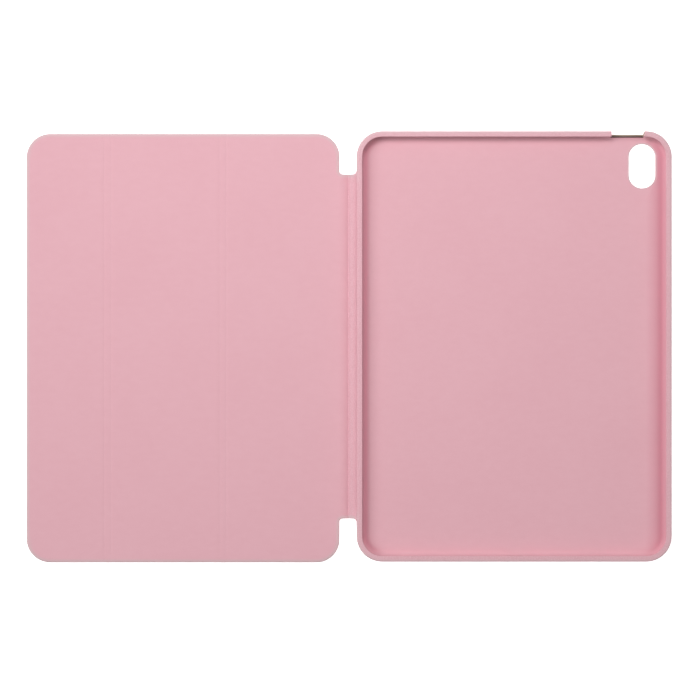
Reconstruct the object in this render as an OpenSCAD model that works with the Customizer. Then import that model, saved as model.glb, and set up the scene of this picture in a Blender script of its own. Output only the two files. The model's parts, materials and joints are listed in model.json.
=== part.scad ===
// Folding case for an 11 inch class tablet, lying open on its back.
// A rigid tray on the right holds the tablet. A creased spine joins it to a
// cover on the left, which folds along two lines into three stiff panels.
// +X runs from the cover to the tray, +Y to the tablet's top edge, +Z up.
// The origin is the middle of the whole case, on the surface it lies on.

/* [Tray] */
// Width of the tray across the spine direction
tray_w = 184.8; // [176:0.2:196]
// Length of the tray along the spine
tray_l = 252.4; // [244:0.2:264]
// Height of the tray's rim above the table
tray_h = 8.4; // [8:0.1:10]
// Corner radius of the tray, seen from above
tray_r = 15; // [14:0.5:20]
// Thickness of the tray's wall
wall_t = 2.3; // [2.1:0.1:2.8]
// Thickness of the tray's floor
floor_t = 2; // [1.8:0.1:2.4]
// Radius between the tray's back and its sides
back_edge_r = 3; // [2.6:0.1:3]
// Radius along the outer edge of the rim
rim_edge_r = 1.3; // [1:0.1:1.4]
// How far the rim reaches in over the tablet's edge
lip_w = 0.5; // [0.3:0.1:0.8]
// Height of the lip that reaches over the tablet's edge
lip_h = 1.2; // [1:0.1:1.3]

/* [Tray openings] */
// Width of the camera window
camera_w = 16.2; // [14:0.2:20]
// Length of the camera window
camera_l = 26.6; // [24:0.2:32]
// From the tray's outer side to the middle of the camera window
camera_from_side = 16.6; // [16:0.1:20]
// From the tray's top edge to the middle of the camera window
camera_from_top = 20; // [19:0.1:24]
// Length of the gap in the rim over the power button
power_gap_l = 19.6; // [16:0.1:24]
// From the tray's outer side to the near end of the power button gap
power_gap_from_side = 15.8; // [15:0.1:18]
// How far the tray's side is cut back in the power button gap
power_gap_cut = 1.6; // [1.4:0.1:1.8]
// Height of the bare bar of core that is left in the power button gap
power_gap_bar_h = 3; // [2.6:0.1:3.6]
// Length of the slot for the charging plug
plug_slot_l = 12; // [11:0.5:18]
// Height of the slot for the charging plug
plug_slot_h = 4.2; // [4.1:0.1:4.3]
// Number of speaker holes in a row
speaker_holes = 10; // [6:1:11]
// Distance between neighbouring speaker holes
speaker_pitch = 2.35; // [2:0.05:2.4]
// Diameter of a speaker hole
speaker_hole_d = 1.2; // [0.8:0.1:1.4]
// From the tray's outer side to the middle of the row by the power button
speaker_from_side = 51; // [50:0.5:60]

/* [Cover] */
// Length of the cover along the spine
cover_l = 252.6; // [244:0.2:253]
// How far the cover sits below the tray's middle, along the spine
cover_drop = 1; // [0:0.1:1.2]
// Thickness of the cover
cover_t = 2.1; // [2:0.1:2.2]
// From the cover's free edge to the first fold
panel_1_span = 47.8; // [46:0.2:52]
// From the first fold to the second fold
panel_2_span = 68; // [66:0.2:70]
// From the second fold to the edge beside the spine
panel_3_span = 68.6; // [66:0.2:70]
// Corner radius at the cover's free edge
free_corner_r = 14; // [12:0.5:18]
// Corner radius beside the spine
spine_corner_r = 13.5; // [12:0.5:16]

/* [Spine and folds] */
// Length of the spine strip
spine_l = 202.8; // [190:0.2:204]
// Gap between the cover and the tray that the spine crosses
spine_gap = 10; // [10:0.1:10.6]
// Thickness of the spine strip
spine_t = 1.2; // [1.1:0.1:1.2]
// Distance between the two bending lines of a fold
fold_w = 2.8; // [2.8:0.1:3]
// Thickness of the cloth in a fold
web_t = 1.2; // [1:0.1:1.2]

/* [Layers] */
// Thickness of the leather-look skin
skin_t = 0.6; // [0.5:0.1:0.7]
// Thickness of the stiff board in a panel
board_t = 1; // [0.8:0.1:1]
// Width of the pressed edge of a panel, outside its board
board_inset = 2; // [1.6:0.1:2.4]
// Thickness of the tray's microfibre lining
tray_lining_t = 0.4; // [0.3:0.1:0.5]
// Thickness of the two stiff strips in the spine
spine_board_t = 0.4; // [0.3:0.1:0.4]

/* [Magnets] */
// Number of closing magnets along the free edge
closing_magnets = 6; // [4:1:8]
// Length of a closing magnet
magnet_l = 20; // [12:1:22]
// Width of a closing magnet
magnet_w = 5; // [4:0.5:6]
// Diameter of the magnet that puts the screen to sleep
wake_magnet_d = 8; // [5:0.5:10]
// Length of the steel strip that the free edge clings to as a stand
steel_strip_l = 210; // [150:5:214]
// Width of the steel strip
steel_strip_w = 12; // [8:0.5:14]

/* [Hidden] */

$fn = 64;

pink_leather = [0.84, 0.62, 0.66];
pink_microfibre = [0.88, 0.67, 0.71];
taupe_plastic = [0.60, 0.52, 0.47];
grey_board = [0.62, 0.60, 0.58];
magnet_grey = [0.45, 0.46, 0.48];
steel_grey = [0.70, 0.71, 0.73];

// Longer than anything that is cut
cut = 20;

// Where things lie along X
case_w = panel_1_span + panel_2_span + panel_3_span + spine_gap + tray_w;
free_edge_x = -case_w / 2;
fold_1_x = free_edge_x + panel_1_span;
fold_2_x = fold_1_x + panel_2_span;
cover_edge_x = fold_2_x + panel_3_span;
tray_edge_x = cover_edge_x + spine_gap;
tray_x = tray_edge_x + tray_w / 2;
tray_far_x = tray_edge_x + tray_w;

// The spine bends along three lines: by the tray, in its middle, and by the cover
tray_bend_x = tray_edge_x - 0.5;
crease_x = tray_edge_x - 5.2;
cover_bend_x = cover_edge_x + 0.4;
bend_gap = 0.15;
crease_gap = 0.2;
spine_skin_t = 0.5;
spine_board_inset = 0.8;

// A panel's edge stands this far back from the bending line beside it
panel_gap = 0.8;
panel_1_end = fold_1_x - fold_w / 2 - panel_gap;
panel_2_start = fold_1_x + fold_w / 2 + panel_gap;
panel_2_end = fold_2_x - fold_w / 2 - panel_gap;
panel_3_start = fold_2_x + fold_w / 2 + panel_gap;
web_w = fold_w - 2 * bend_gap;
web_bottom = (cover_t - web_t) / 2;
board_l = cover_l - 2 * board_inset;

// The tray's section is drawn outwards from the middle of its corner arcs
core_t = floor_t - skin_t - tray_lining_t;
lining_face = tray_r - wall_t;
core_face = lining_face + tray_lining_t;
lip_face = lining_face - lip_w;
lip_z = tray_h - lip_h;
wall_hole_z = floor_t + 3;

// In the power button gap the lining stops short of a channel beside the bar
gap_bar_w = 1;
gap_bare = wall_t + 1.5;
gap_channel_z = 1;

closing_magnet_x = free_edge_x + 7;
closing_magnet_pitch = (cover_l - 60) / (closing_magnets - 1);
wake_magnet_x = free_edge_x + 20;
wake_magnet_y = -70;
steel_strip_x = cover_edge_x - 11;

// A flat sheet between two X positions, with chosen corner radii on each side.
// A radius of 0 leaves that side square.
module sheet_outline(x0, x1, l, left_r, right_r) {
    translate([x0 + left_r, -l / 2])
        square([x1 - x0 - left_r - right_r, l]);
    if (left_r > 0) {
        translate([x0, -l / 2 + left_r])
            square([left_r, l - 2 * left_r]);
        for (side = [-1, 1])
            translate([x0 + left_r, side * (l / 2 - left_r)])
                circle(left_r);
    }
    if (right_r > 0) {
        translate([x1 - right_r, -l / 2 + right_r])
            square([right_r, l - 2 * right_r]);
        for (side = [-1, 1])
            translate([x1 - right_r, side * (l / 2 - right_r)])
                circle(right_r);
    }
}

// ---- Tray ----

// The tray's whole section, shrunk on its outer sides
module tray_section(inset) {
    translate([0, inset])
        square([tray_r - back_edge_r, tray_h - 2 * inset]);
    translate([0, back_edge_r])
        square([tray_r - inset, tray_h - back_edge_r - rim_edge_r]);
    translate([0, back_edge_r])
        square([tray_r - rim_edge_r, tray_h - back_edge_r - inset]);
    translate([tray_r - back_edge_r, back_edge_r])
        circle(back_edge_r - inset);
    translate([tray_r - rim_edge_r, tray_h - rim_edge_r])
        circle(rim_edge_r - inset);
}

module skin_section() {
    difference() {
        tray_section(0);
        tray_section(skin_t);
        translate([-1, floor_t])
            square([lip_face + 1, cut]);
    }
    translate([lip_face, lip_z])
        square([lip_w, lip_h]);
}

module core_section() {
    difference() {
        tray_section(skin_t);
        translate([-1, skin_t + core_t])
            square([core_face + 1, cut]);
    }
    translate([lining_face, lip_z])
        square([tray_lining_t + 0.1, lip_h - skin_t]);
}

module lining_section() {
    translate([0, skin_t + core_t])
        square([core_face, tray_lining_t]);
    translate([lining_face, skin_t + core_t])
        square([tray_lining_t, lip_z - skin_t - core_t]);
}

// Carries a section round the tray, and fills the middle of its floor
module round_the_tray(floor_bottom, floor_thickness) {
    straight_w = tray_w - 2 * tray_r;
    straight_l = tray_l - 2 * tray_r;
    translate([tray_x, 0, 0]) {
        translate([-straight_w / 2, -straight_l / 2, floor_bottom])
            cube([straight_w, straight_l, floor_thickness]);
        for (side = [0, 180]) {
            rotate(side)
                translate([straight_w / 2, 0, 0])
                    rotate([90, 0, 0])
                        linear_extrude(straight_l, center = true)
                            children();
            rotate(side + 90)
                translate([straight_l / 2, 0, 0])
                    rotate([90, 0, 0])
                        linear_extrude(straight_w, center = true)
                            children();
        }
        for (corner = [[1, 1, 0], [-1, 1, 90], [-1, -1, 180], [1, -1, 270]])
            translate([corner[0] * straight_w / 2, corner[1] * straight_l / 2, 0])
                rotate(corner[2])
                    rotate_extrude(angle = 90)
                        children();
    }
}

module camera_window() {
    translate([tray_far_x - camera_from_side, tray_l / 2 - camera_from_top, 0])
        linear_extrude(cut, center = true) {
            square([camera_w, camera_l - camera_w], center = true);
            for (side = [-1, 1])
                translate([0, side * (camera_l - camera_w) / 2])
                    circle(d = camera_w);
        }
}

// A block in the power button gap, between two distances in from the tray's top edge
module gap_block(inner, outer, bottom, height) {
    translate([
        tray_far_x - power_gap_from_side - power_gap_l,
        tray_l / 2 - inner,
        bottom
    ])
        cube([power_gap_l, inner - outer, height]);
}

// The gap goes right through the tray's side
module power_gap_through() {
    gap_block(power_gap_cut, -cut, -cut / 2, 2 * cut);
}

// The skin and the lining stop before the bar
module power_gap() {
    power_gap_through();
    gap_block(gap_bare, -cut, gap_channel_z, cut);
}

module power_gap_in_core() {
    power_gap_through();
    gap_block(gap_bare, power_gap_cut + gap_bar_w, gap_channel_z, cut);
    gap_block(gap_bare, -cut, power_gap_bar_h, cut);
}

// One row of round holes through the tray's wall at one end
module speaker_row(x, end) {
    first_x = x - (speaker_holes - 1) / 2 * speaker_pitch;
    for (i = [0 : speaker_holes - 1])
        translate([first_x + i * speaker_pitch, end * tray_l / 2, wall_hole_z])
            rotate([90, 0, 0])
                cylinder(h = cut, d = speaker_hole_d, center = true);
}

module plug_slot() {
    translate([tray_x, -tray_l / 2, wall_hole_z])
        rotate([90, 0, 0])
            linear_extrude(cut, center = true) {
                square([plug_slot_l - plug_slot_h, plug_slot_h], center = true);
                for (side = [-1, 1])
                    translate([side * (plug_slot_l - plug_slot_h) / 2, 0])
                        circle(d = plug_slot_h);
            }
}

module tray_openings() {
    camera_window();
    speaker_row(tray_far_x - speaker_from_side, 1);
    for (side = [-1, 1])
        speaker_row(tray_x + side * (tray_w / 2 - speaker_from_side), -1);
    plug_slot();
}

module tray_skin() {
    color(pink_leather)
        difference() {
            round_the_tray(0, skin_t)
                skin_section();
            tray_openings();
            power_gap();
        }
}

module tray_core() {
    color(taupe_plastic)
        difference() {
            round_the_tray(skin_t, core_t)
                core_section();
            tray_openings();
            power_gap_in_core();
        }
    color(taupe_plastic)
        gap_block(
            power_gap_cut + gap_bar_w,
            power_gap_cut,
            skin_t + core_t - 0.1,
            power_gap_bar_h - skin_t - core_t + 0.1
        );
}

module tray_lining() {
    color(pink_microfibre)
        difference() {
            round_the_tray(skin_t + core_t, tray_lining_t)
                lining_section();
            tray_openings();
            power_gap();
        }
}

// ---- Spine ----

// One half of the spine lies between two X positions
module spine_skin(x0, x1) {
    color(pink_leather)
        translate([x0, -spine_l / 2, 0])
            cube([x1 - x0, spine_l, spine_skin_t]);
}

module spine_board(x0, x1) {
    color(grey_board)
        translate([x0 + spine_board_inset, board_inset - spine_l / 2, spine_skin_t])
            cube([x1 - x0 - 2 * spine_board_inset, spine_l - 2 * board_inset, spine_board_t]);
}

module spine_lining(x0, x1) {
    color(pink_microfibre)
        difference() {
            translate([x0, -spine_l / 2, spine_skin_t])
                cube([x1 - x0, spine_l, spine_t - spine_skin_t]);
            spine_board(x0, x1);
        }
}

module spine_inner_skin() { spine_skin(crease_x + crease_gap, tray_bend_x - bend_gap); }
module spine_inner_board() { spine_board(crease_x + crease_gap, tray_bend_x - bend_gap); }
module spine_inner_lining() { spine_lining(crease_x + crease_gap, tray_bend_x - bend_gap); }
module spine_outer_skin() { spine_skin(cover_bend_x + bend_gap, crease_x - crease_gap); }
module spine_outer_board() { spine_board(cover_bend_x + bend_gap, crease_x - crease_gap); }
module spine_outer_lining() { spine_lining(cover_bend_x + bend_gap, crease_x - crease_gap); }

// ---- Panels ----

module panel_skin(x0, x1, left_r, right_r) {
    color(pink_leather)
        translate([0, -cover_drop, 0])
            linear_extrude(skin_t)
                sheet_outline(x0, x1, cover_l, left_r, right_r);
}

// The space inside a panel that its board and metal fill
module board_space(x0, x1, left_r, right_r) {
    translate([0, -cover_drop, skin_t])
        linear_extrude(board_t)
            sheet_outline(
                x0 + board_inset,
                x1 - board_inset,
                board_l,
                max(left_r - board_inset, 0),
                max(right_r - board_inset, 0)
            );
}

module panel_lining(x0, x1, left_r, right_r) {
    color(pink_microfibre)
        difference() {
            translate([0, -cover_drop, skin_t])
                linear_extrude(cover_t - skin_t)
                    sheet_outline(x0, x1, cover_l, left_r, right_r);
            board_space(x0, x1, left_r, right_r);
        }
}

module panel_1_skin() { panel_skin(free_edge_x, panel_1_end, free_corner_r, 0); }

module panel_1_board() {
    color(grey_board)
        difference() {
            board_space(free_edge_x, panel_1_end, free_corner_r, 0);
            closing_magnet_bars();
            wake_magnet();
        }
}

module panel_1_lining() { panel_lining(free_edge_x, panel_1_end, free_corner_r, 0); }

module panel_2_skin() { panel_skin(panel_2_start, panel_2_end, 0, 0); }

module panel_2_board() {
    color(grey_board)
        board_space(panel_2_start, panel_2_end, 0, 0);
}

module panel_2_lining() { panel_lining(panel_2_start, panel_2_end, 0, 0); }

module panel_3_skin() { panel_skin(panel_3_start, cover_edge_x, 0, spine_corner_r); }

module panel_3_board() {
    color(grey_board)
        difference() {
            board_space(panel_3_start, cover_edge_x, 0, spine_corner_r);
            steel_strip();
        }
}

module panel_3_lining() { panel_lining(panel_3_start, cover_edge_x, 0, spine_corner_r); }

// ---- Folds ----

// The lower half of a fold's cloth is skin, and the upper half is lining
module web_layer(x, bottom, thickness) {
    translate([x - web_w / 2, -cover_l / 2 - cover_drop, bottom])
        cube([web_w, cover_l, thickness]);
}

module web_skin(x) {
    color(pink_leather)
        web_layer(x, web_bottom, web_t / 2);
}

module web_lining(x) {
    color(pink_microfibre)
        web_layer(x, web_bottom + web_t / 2, web_t / 2);
}

module web_1_skin() { web_skin(fold_1_x); }
module web_1_lining() { web_lining(fold_1_x); }
module web_2_skin() { web_skin(fold_2_x); }
module web_2_lining() { web_lining(fold_2_x); }

// ---- Magnets and steel ----

module closing_magnet_bars() {
    first_y = -(closing_magnets - 1) / 2 * closing_magnet_pitch - cover_drop;
    color(magnet_grey)
        for (i = [0 : closing_magnets - 1])
            translate([
                closing_magnet_x - magnet_w / 2,
                first_y + i * closing_magnet_pitch - magnet_l / 2,
                skin_t
            ])
                cube([magnet_w, magnet_l, board_t]);
}

module wake_magnet() {
    color(magnet_grey)
        translate([wake_magnet_x, wake_magnet_y, skin_t])
            cylinder(h = board_t, d = wake_magnet_d);
}

module steel_strip() {
    color(steel_grey)
        translate([steel_strip_x - steel_strip_w / 2, -steel_strip_l / 2 - cover_drop, skin_t])
            cube([steel_strip_w, steel_strip_l, board_t]);
}

tray_skin();
tray_core();
tray_lining();
spine_inner_skin();
spine_inner_board();
spine_inner_lining();
spine_outer_skin();
spine_outer_board();
spine_outer_lining();
panel_3_skin();
panel_3_board();
panel_3_lining();
steel_strip();
web_2_skin();
web_2_lining();
panel_2_skin();
panel_2_board();
panel_2_lining();
web_1_skin();
web_1_lining();
panel_1_skin();
panel_1_board();
panel_1_lining();
closing_magnet_bars();
wake_magnet();
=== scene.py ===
"""A folding tablet case, lying open on its back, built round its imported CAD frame."""

import json
import math

import bmesh
import bpy
import numpy as np
from bpy.props import FloatProperty, FloatVectorProperty, IntProperty, PointerProperty
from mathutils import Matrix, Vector


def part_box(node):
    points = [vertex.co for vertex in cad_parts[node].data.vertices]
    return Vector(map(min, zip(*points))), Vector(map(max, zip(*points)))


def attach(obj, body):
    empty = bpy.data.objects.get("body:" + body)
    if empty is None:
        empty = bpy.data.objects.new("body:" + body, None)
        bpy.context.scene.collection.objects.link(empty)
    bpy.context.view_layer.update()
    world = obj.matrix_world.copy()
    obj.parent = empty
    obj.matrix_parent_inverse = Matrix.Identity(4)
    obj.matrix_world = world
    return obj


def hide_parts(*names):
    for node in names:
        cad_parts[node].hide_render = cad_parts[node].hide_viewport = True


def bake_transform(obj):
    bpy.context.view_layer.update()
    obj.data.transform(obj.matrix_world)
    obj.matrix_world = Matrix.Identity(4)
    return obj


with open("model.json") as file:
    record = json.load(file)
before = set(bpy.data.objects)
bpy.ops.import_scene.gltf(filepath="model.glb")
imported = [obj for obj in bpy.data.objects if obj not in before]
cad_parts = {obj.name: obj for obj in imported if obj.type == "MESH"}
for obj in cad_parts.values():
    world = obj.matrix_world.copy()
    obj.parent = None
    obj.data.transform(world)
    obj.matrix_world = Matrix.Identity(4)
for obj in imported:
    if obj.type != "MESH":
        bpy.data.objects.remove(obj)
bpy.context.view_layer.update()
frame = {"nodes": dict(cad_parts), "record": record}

bl_info = {
    "name": "Folding tablet case",
    "version": (1, 0, 0),
    "blender": (4, 5, 0),
    "location": "3D View > Sidebar > Tablet case",
    "description": "Builds an open folding tablet case with its tray, spine and three panels",
    "category": "Add Mesh",
}

MM = 0.001


def corners(node):
    """A CAD node's lowest and highest corner, in millimetres."""
    low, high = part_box(node)
    return Vector(low) / MM, Vector(high) / MM


def hinge(name):
    """A joint's place, in millimetres."""
    joint = next(j for j in frame["record"]["behaviour"]["joints"] if j["name"] == name)
    return Vector(joint["pos_m"]) / MM


PANEL_1_LOW, PANEL_1_HIGH = corners("panel_1_skin")
BOARD_LOW, BOARD_HIGH = corners("panel_1_board")
STRIP_LOW, STRIP_HIGH = corners("spine_inner_lining")
OUTER_LOW, OUTER_HIGH = corners("spine_outer_lining")
TRAY_LOW, TRAY_HIGH = corners("tray_skin")

FREE_EDGE = PANEL_1_LOW.x
COVER_EDGE = corners("panel_3_skin")[1].x
COVER_LOW, COVER_HIGH = PANEL_1_LOW.y, PANEL_1_HIGH.y
COVER_TOP = corners("panel_1_lining")[1].z
STRIP_END = STRIP_HIGH.y
TRAY_EDGE = TRAY_LOW.x
TRAY_X = (TRAY_LOW.x + TRAY_HIGH.x) / 2
CREASE = hinge("spine_crease").x
FOLD_1 = (hinge("fold_1").x + hinge("fold_1_far").x) / 2
FOLD_2 = (hinge("fold_2").x + hinge("fold_2_far").x) / 2
MID_2 = (FOLD_1 + FOLD_2) / 2
MID_3 = (FOLD_2 + COVER_EDGE) / 2
MID_OUTER = (OUTER_LOW.x + OUTER_HIGH.x) / 2
MID_INNER = (STRIP_LOW.x + STRIP_HIGH.x) / 2
BACK_EDGE_R = 3.0
BED_TOP = 2.0


def size_value(name, description, default, low, high):
    """A length that a user can change, given here in millimetres."""
    return FloatProperty(
        name=name, description=description, default=default * MM, min=low * MM, max=high * MM,
        unit="LENGTH", subtype="DISTANCE",
    )


def colour_value(name, description, default):
    """A colour that a user can change."""
    return FloatVectorProperty(
        name=name, description=description, size=3, default=default, min=0, max=1, subtype="COLOR",
    )


class CaseSizes(bpy.types.PropertyGroup):
    """Sizes that a maker of this case would change."""

    free_corner: size_value(
        "Free corner radius", "Corner radius at the cover's free edge", 14, 5, 20)
    spine_corner: size_value(
        "Spine corner radius", "Corner radius of the cover beside the spine", 13.5, 5, 18)
    notch_fillet: size_value(
        "Notch fillet", "Radius where the spine strip meets the cover and the tray", 2, 0.5, 4)
    lining_round: size_value(
        "Lining edge radius", "How far the lining rounds over at the cover's edge", 1.05, 0.3, 1.2)
    skin_round: size_value(
        "Skin edge radius", "How far the skin rounds under at the cover's edge", 0.42, 0.1, 0.5)
    pressed_depth: size_value(
        "Pressed edge depth", "How much thinner the pressed border outside the board is",
        0.12, 0.0, 0.3)
    fold_line_depth: size_value(
        "Fold line depth", "Depth of the two fine lines beside each fold, inside", 0.08, 0.0, 0.4)
    fold_groove: size_value(
        "Fold groove depth", "Depth of the groove along each fold, outside", 0.3, 0.0, 0.4)
    lip_round: size_value(
        "Lip radius", "Radius of the lip's inner top edge", 0.35, 0.1, 0.5)
    bed_fillet: size_value(
        "Bed fillet", "Radius of the lining between the tray's floor and its wall", 3.5, 0.2, 4)
    window_round: size_value(
        "Window edge", "How far the camera window's edge is bevelled, inside and outside",
        0.5, 0.1, 0.8)
    hole_diameter: size_value(
        "Speaker hole", "Diameter of a speaker hole", 1.2, 0.5, 2)
    hole_pitch: size_value(
        "Speaker hole spacing", "Distance between neighbouring speaker holes", 2.35, 1.5, 4)
    holes: IntProperty(
        name="Speaker holes", description="Number of holes in a row", default=10, min=1, max=11
    )


class CaseColours(bpy.types.PropertyGroup):
    """Colours that a maker of this case would change."""

    lining: colour_value(
        "Lining", "Colour of the microfibre lining", (0.79, 0.444, 0.50))
    skin: colour_value(
        "Skin", "Colour of the leather-look skin", (0.79, 0.444, 0.50))
    # Painted light: the facing colour is the skin's colour made lighter, standing in for light that
    # the tray's wall keeps off the facing.
    facing: colour_value(
        "Facing", "Colour of the facing between the crease and the rim", (0.82, 0.465, 0.525))
    # Partly wear and partly painted sheen: the lighter, greyer colour that the cloth's edges, the
    # rim's rounding and the camera window's edge are painted towards.
    edge: colour_value(
        "Edges", "Colour that pressed and worn edges fade to", (0.69, 0.52, 0.535))
    core: colour_value(
        "Core", "Colour of the tray's moulded core", (0.40, 0.32, 0.26))
    # Painted shade: the darker colour the core is painted low down, where it lies in shade at the
    # floor of the power button gap's channel.
    channel_shade: colour_value(
        "Channel shade", "Colour that the core is painted low down, as painted shade in the gap's channel", (0.22, 0.11, 0.095))
    board: colour_value(
        "Board", "Colour of the stiffening boards", (0.34, 0.32, 0.30))
    floor: colour_value(
        "Floor", "Colour of the studio floor", (0.9, 0.9, 0.9))


def sizes():
    return bpy.context.scene.case_sizes


def colours():
    return bpy.context.scene.case_colours


# ---- Shader graphs ----


def add_node(tree, kind, settings=None, inputs=None):
    """A node with its settings set first, and then its sockets' values or links."""
    node = tree.nodes.new(kind)
    for key, value in (settings or {}).items():
        setattr(node, key, value)
    for key, value in (inputs or {}).items():
        socket = node.inputs[key]
        value = value.socket if isinstance(value, Value) else value
        if isinstance(value, bpy.types.NodeSocket):
            tree.links.new(value, socket)
        else:
            socket.default_value = value
    return node


class Value:
    """A number socket that can stand in a sum."""

    def __init__(self, graph, socket):
        self.graph, self.socket = graph, socket

    def __add__(self, other):
        return self.graph.math("ADD", self, other)

    def __radd__(self, other):
        return self.graph.math("ADD", other, self)

    def __sub__(self, other):
        return self.graph.math("SUBTRACT", self, other)

    def __rsub__(self, other):
        return self.graph.math("SUBTRACT", other, self)

    def __mul__(self, other):
        return self.graph.math("MULTIPLY", self, other)

    def __rmul__(self, other):
        return self.graph.math("MULTIPLY", other, self)


class Graph:
    """The nodes of one material."""

    def __init__(self, name):
        self.material = bpy.data.materials.new(name)
        self.material.use_nodes = True
        self.tree = self.material.node_tree
        self.tree.nodes.clear()
        self.place = self.node("ShaderNodeTexCoord").outputs["Object"]

    def node(self, kind, settings=None, inputs=None):
        return add_node(self.tree, kind, settings, inputs)

    def math(self, operation, *values):
        inputs = dict(enumerate(values))
        return Value(self, self.node("ShaderNodeMath", {"operation": operation}, inputs).outputs[0])

    def height(self):
        """How high a point lies, in metres."""
        return Value(self, self.node("ShaderNodeSeparateXYZ", {}, {0: self.place}).outputs[2])

    def noise(self, size, detail=2.0, roughness=0.5, stretch=(1, 1, 1)):
        """A noise from 0 to 1 whose blots are about size across, in metres."""
        place = self.node(
            "ShaderNodeMapping", {}, {"Vector": self.place, "Scale": stretch}
        ).outputs[0]
        inputs = {"Vector": place, "Scale": 1 / size, "Detail": detail, "Roughness": roughness}
        return Value(self, self.node("ShaderNodeTexNoise", {}, inputs).outputs["Fac"])

    def ramp(self, value, low, high, to_low=0.0, to_high=1.0):
        inputs = {0: value, 1: low, 2: high, 3: to_low, 4: to_high}
        settings = {"interpolation_type": "SMOOTHSTEP"}
        return Value(self, self.node("ShaderNodeMapRange", settings, inputs).outputs[0])

    def cells(self, size, wobble):
        """How far a point is from the nearest crack of a pebbled grain, 0 to about 0.5."""
        shift = self.node(
            "ShaderNodeTexNoise", {}, {"Vector": self.place, "Scale": 0.4 / size, "Detail": 2.0}
        ).outputs["Color"]
        shift = self.node(
            "ShaderNodeVectorMath", {"operation": "SCALE"}, {0: shift, "Scale": wobble * size}
        ).outputs[0]
        place = self.node("ShaderNodeVectorMath", {"operation": "ADD"}, {0: self.place, 1: shift})
        inputs = {"Vector": place.outputs[0], "Scale": 1 / size}
        settings = {"feature": "DISTANCE_TO_EDGE"}
        return Value(self, self.node("ShaderNodeTexVoronoi", settings, inputs).outputs["Distance"])

    def attribute(self, name):
        return Value(self, self.node("ShaderNodeAttribute", {"attribute_name": name}).outputs["Fac"])

    def mix(self, share, first, second):
        """A colour between two colours."""
        settings = {"data_type": "RGBA", "blend_type": "MIX"}
        inputs = {0: share, 6: rgba(first), 7: rgba(second)}
        return self.node("ShaderNodeMix", settings, inputs).outputs[2]

    def bump(self, height, distance, strength):
        inputs = {"Height": height, "Distance": distance, "Strength": strength}
        return self.node("ShaderNodeBump", {}, inputs).outputs[0]

    def finish(self, **inputs):
        """Ends the graph in a Principled shader. The names are its sockets', with _ for a space."""
        named = {key.replace("_", " "): value for key, value in inputs.items()}
        shader = self.node("ShaderNodeBsdfPrincipled", {}, named)
        self.node("ShaderNodeOutputMaterial", {}, {"Surface": shader.outputs[0]})
        return self.material


def rgba(colour):
    """A plain colour with its alpha, or a colour socket as it is."""
    return colour if isinstance(colour, bpy.types.NodeSocket) else (*colour, 1.0)


def toned(base, factors):
    """A colour with each of its channels scaled."""
    return [min(v * k, 1) for v, k in zip(base, factors)]


def once(make):
    """Keeps the material that a function makes, so that pieces share it."""
    kept = {}

    def get():
        if "made" not in kept:
            kept["made"] = make()
        return kept["made"]

    return get


@once
def microfibre():
    g = Graph("pink microfibre")
    c = colours()
    pile = g.noise(0.00035, 3.0, 0.6)
    nap = g.noise(0.003, 3.0, 0.55, (0.5, 1.0, 1.0))
    cloud = g.noise(0.05, 2.0)
    worn = g.attribute("edge")
    light = g.ramp(pile * 0.5 + nap * 0.3 + cloud * 0.2, 0.3, 0.7)
    deep, pale = toned(c.lining, (0.98, 0.955, 0.96)), toned(c.lining, (1.015, 1.035, 1.03))
    # Painted shade: where the "corner" attribute says, the lining is mixed towards a darker, redder
    # copy of its colour at the foot of the tray's walls and beside its far wall.
    shaded_lining = toned(c.lining, (0.90, 0.68, 0.74))
    colour = g.mix(g.attribute("corner"), g.mix(light, deep, pale), shaded_lining)
    # The edge colour, partly wear and partly painted sheen.
    colour = g.mix(worn * (0.75 + 0.25 * nap), colour, c.edge)
    height = pile * 0.7 + g.noise(0.0009, 2.0) * 0.3
    return g.finish(
        Base_Color=colour,
        Roughness=g.ramp(nap, 0.3, 0.7, 0.86, 0.96),
        Normal=g.bump(height, 0.00006, 0.6),
        Specular_IOR_Level=0.2,
        Sheen_Weight=0.22,
        Sheen_Roughness=0.45,
        Sheen_Tint=(1.0, 0.93, 0.94, 1.0),
    )


def grained(name, base):
    """A fine pebbled leather-look skin, smoothed where it is worn, and faded at its edges, partly by
    wear and partly as painted sheen.
    """
    g = Graph(name)
    crack = g.cells(0.0011, 0.9)
    pebble = g.ramp(crack, 0.0, 0.22)
    pore = g.noise(0.0003, 2.0, 0.6)
    cloud = g.noise(0.03, 3.0)
    worn = g.attribute("edge")
    deep, pale = toned(base, (0.95, 0.90, 0.91)), toned(base, (1.01, 1.03, 1.03))
    tone = g.ramp(pebble * 0.5 + cloud * 0.5, 0.2, 0.8)
    # Edge colour, partly wear and partly painted sheen.
    colour = g.mix(worn * (0.7 + 0.3 * pore), g.mix(tone, deep, pale), colours().edge)
    height = pebble * 0.75 + pore * 0.25
    return g.finish(
        Base_Color=colour,
        Roughness=0.62 - 0.12 * pebble + 0.1 * (cloud - 0.5) - 0.06 * worn,
        Normal=g.bump(height, 0.00005, 0.5),
        Specular_IOR_Level=0.4,
        Sheen_Weight=0.1,
        Sheen_Roughness=0.5,
    )


@once
def leather():
    return grained("pink grained leather", colours().skin)


# Painted light: the skin's leather in the lighter facing colour.
@once
def lightened_facing_leather():
    return grained("lightened pink facing leather", colours().facing)


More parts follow.
